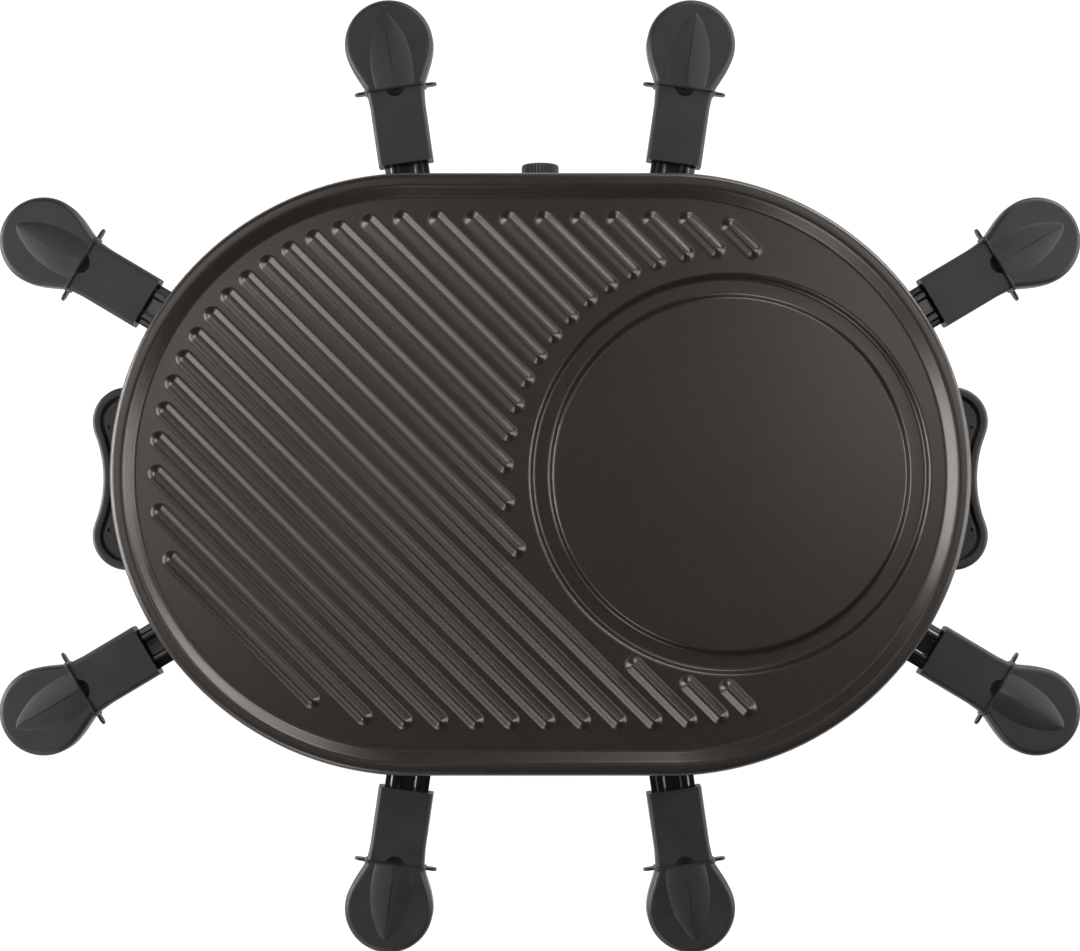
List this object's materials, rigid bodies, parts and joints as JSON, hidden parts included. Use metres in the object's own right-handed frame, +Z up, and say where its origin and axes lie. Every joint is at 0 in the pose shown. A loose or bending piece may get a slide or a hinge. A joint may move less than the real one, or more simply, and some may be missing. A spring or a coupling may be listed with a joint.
{
  "type": "gourmet grill",
  "caption": "Oval table-top grill: a ribbed plate with a round pancake place over a heated deck of small sliding pans.",
  "frame": {"origin": "on the table under the middle of the grill's overall box", "axes": "+Z up, -Y towards the knob side, +X along the plate's length"},
  "size_m": [0.562, 0.495, 0.111],
  "materials": {
    "coated_aluminium": "cast, with a dark non-stick coating",
    "coated_steel": "pressed sheet, non-stick coated",
    "black_steel": "pressed sheet, glossy black enamel",
    "phenolic": "matt moulded phenolic",
    "moulded_black": "moulded heat-proof plastic",
    "bare_steel": "zinc plated",
    "element_steel": "heat-tinted stainless tube",
    "ceramic": "fired steatite",
    "rubber": "moulded rubber",
    "red_lens": "clear red moulding",
    "lead_cover": "silicone sleeve"
  },
  "bodies": {
    "base": {"base_housing": "moulded_black", "pan_shelf": "coated_steel", "rubber_foot_1": "rubber", "rubber_foot_2": "rubber", "rubber_foot_3": "rubber", "rubber_foot_4": "rubber", "shelf_screw_1": "bare_steel", "shelf_screw_2": "bare_steel", "shelf_screw_3": "bare_steel", "shelf_screw_4": "bare_steel", "end_stand_left": "phenolic", "end_stand_right": "phenolic", "end_stand_screw_left": "bare_steel", "end_stand_screw_right": "bare_steel", "side_grip_left": "phenolic", "side_grip_right": "phenolic", "rear_stand": "phenolic", "rear_stand_screw": "bare_steel", "heating_element": "element_steel", "element_sleeve_left": "ceramic", "element_sleeve_right": "ceramic", "element_bracket_left": "bare_steel", "element_bracket_right": "bare_steel", "element_bracket_rear": "bare_steel", "control_housing": "phenolic", "control_rear_cover": "bare_steel", "control_housing_screw": "bare_steel", "thermostat_body": "moulded_black", "pilot_lamp": "red_lens", "cord_bushing": "rubber", "terminal_block": "ceramic", "supply_lead_1": "lead_cover", "supply_lead_2": "lead_cover"},
    "plate": {"grill_plate": "coated_aluminium"},
    "knob": {"control_knob": "moulded_black", "thermostat_shaft": "bare_steel"},
    "pan_1_set": {"pan_1": "coated_steel", "pan_1_stem": "black_steel", "pan_1_handle": "phenolic"},
    "pan_2_set": {"pan_2": "coated_steel", "pan_2_stem": "black_steel", "pan_2_handle": "phenolic"},
    "pan_3_set": {"pan_3": "coated_steel", "pan_3_stem": "black_steel", "pan_3_handle": "phenolic"},
    "pan_4_set": {"pan_4": "coated_steel", "pan_4_stem": "black_steel", "pan_4_handle": "phenolic"},
    "pan_5_set": {"pan_5": "coated_steel", "pan_5_stem": "black_steel", "pan_5_handle": "phenolic"},
    "pan_6_set": {"pan_6": "coated_steel", "pan_6_stem": "black_steel", "pan_6_handle": "phenolic"},
    "pan_7_set": {"pan_7": "coated_steel", "pan_7_stem": "black_steel", "pan_7_handle": "phenolic"},
    "pan_8_set": {"pan_8": "coated_steel", "pan_8_stem": "black_steel", "pan_8_handle": "phenolic"}
  },
  "joints": [
    {"name": "plate_lift", "type": "slide", "parent": "base", "child": "plate", "axis": [0, 0, 1], "range_m": [0, 0.06]},
    {"name": "knob_turn", "type": "hinge", "parent": "base", "child": "knob", "pos_m": [0, -0.149, 0.08], "axis": [0, -1, 0], "range_deg": [0, 270]},
    {"name": "pan_1_slide", "type": "slide", "parent": "base", "child": "pan_1_set", "axis": [-0.1426, -0.9898, 0], "range_m": [0, 0.09]},
    {"name": "pan_2_slide", "type": "slide", "parent": "base", "child": "pan_2_set", "axis": [0.1426, -0.9898, 0], "range_m": [0, 0.09]},
    {"name": "pan_3_slide", "type": "slide", "parent": "base", "child": "pan_3_set", "axis": [0.859, -0.512, 0], "range_m": [0, 0.09]},
    {"name": "pan_4_slide", "type": "slide", "parent": "base", "child": "pan_4_set", "axis": [0.859, 0.512, 0], "range_m": [0, 0.09]},
    {"name": "pan_5_slide", "type": "slide", "parent": "base", "child": "pan_5_set", "axis": [0.1426, 0.9898, 0], "range_m": [0, 0.09]},
    {"name": "pan_6_slide", "type": "slide", "parent": "base", "child": "pan_6_set", "axis": [-0.1426, 0.9898, 0], "range_m": [0, 0.09]},
    {"name": "pan_7_slide", "type": "slide", "parent": "base", "child": "pan_7_set", "axis": [-0.859, 0.512, 0], "range_m": [0, 0.09]},
    {"name": "pan_8_slide", "type": "slide", "parent": "base", "child": "pan_8_set", "axis": [-0.859, -0.512, 0], "range_m": [0, 0.09]}
  ]
}
